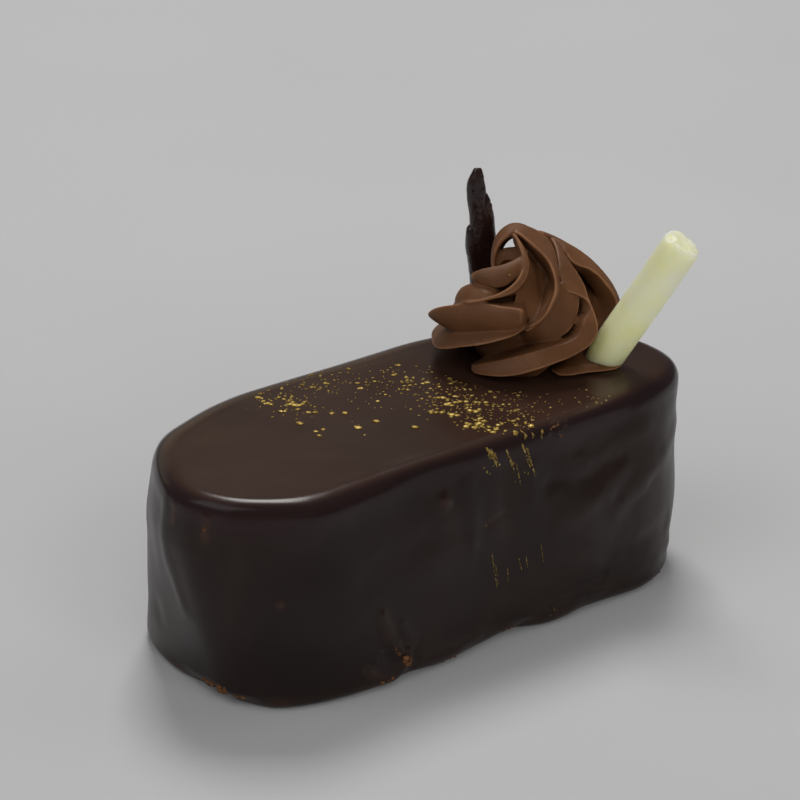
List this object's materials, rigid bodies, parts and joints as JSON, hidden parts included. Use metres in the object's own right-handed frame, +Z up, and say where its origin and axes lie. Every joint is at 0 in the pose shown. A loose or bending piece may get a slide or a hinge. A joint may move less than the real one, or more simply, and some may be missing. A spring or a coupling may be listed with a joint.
{
  "type": "mini chocolate truffle cake",
  "caption": "Small long round-ended single cake in dark glossy chocolate glaze, with a piped ganache swirl, a white chocolate stick and a thin dark chocolate stick.",
  "frame": {"origin": "centre of the footprint, at the height of the flat underside", "axes": "+X along the cake towards the end with the swirl, +Z up, -Y towards the long side seen from the front"},
  "size_m": [0.1206, 0.0546, 0.078],
  "materials": {
    "glaze": "glossy dark chocolate glaze",
    "ganache": "satin milk-brown piped ganache",
    "white_chocolate": "satin white chocolate",
    "dark_chocolate": "glossy dark chocolate"
  },
  "bodies": {
    "root": {"glazed_cake": "glaze", "piped_swirl": "ganache", "white_stick": "white_chocolate", "dark_stick": "dark_chocolate"}
  },
  "joints": []
}
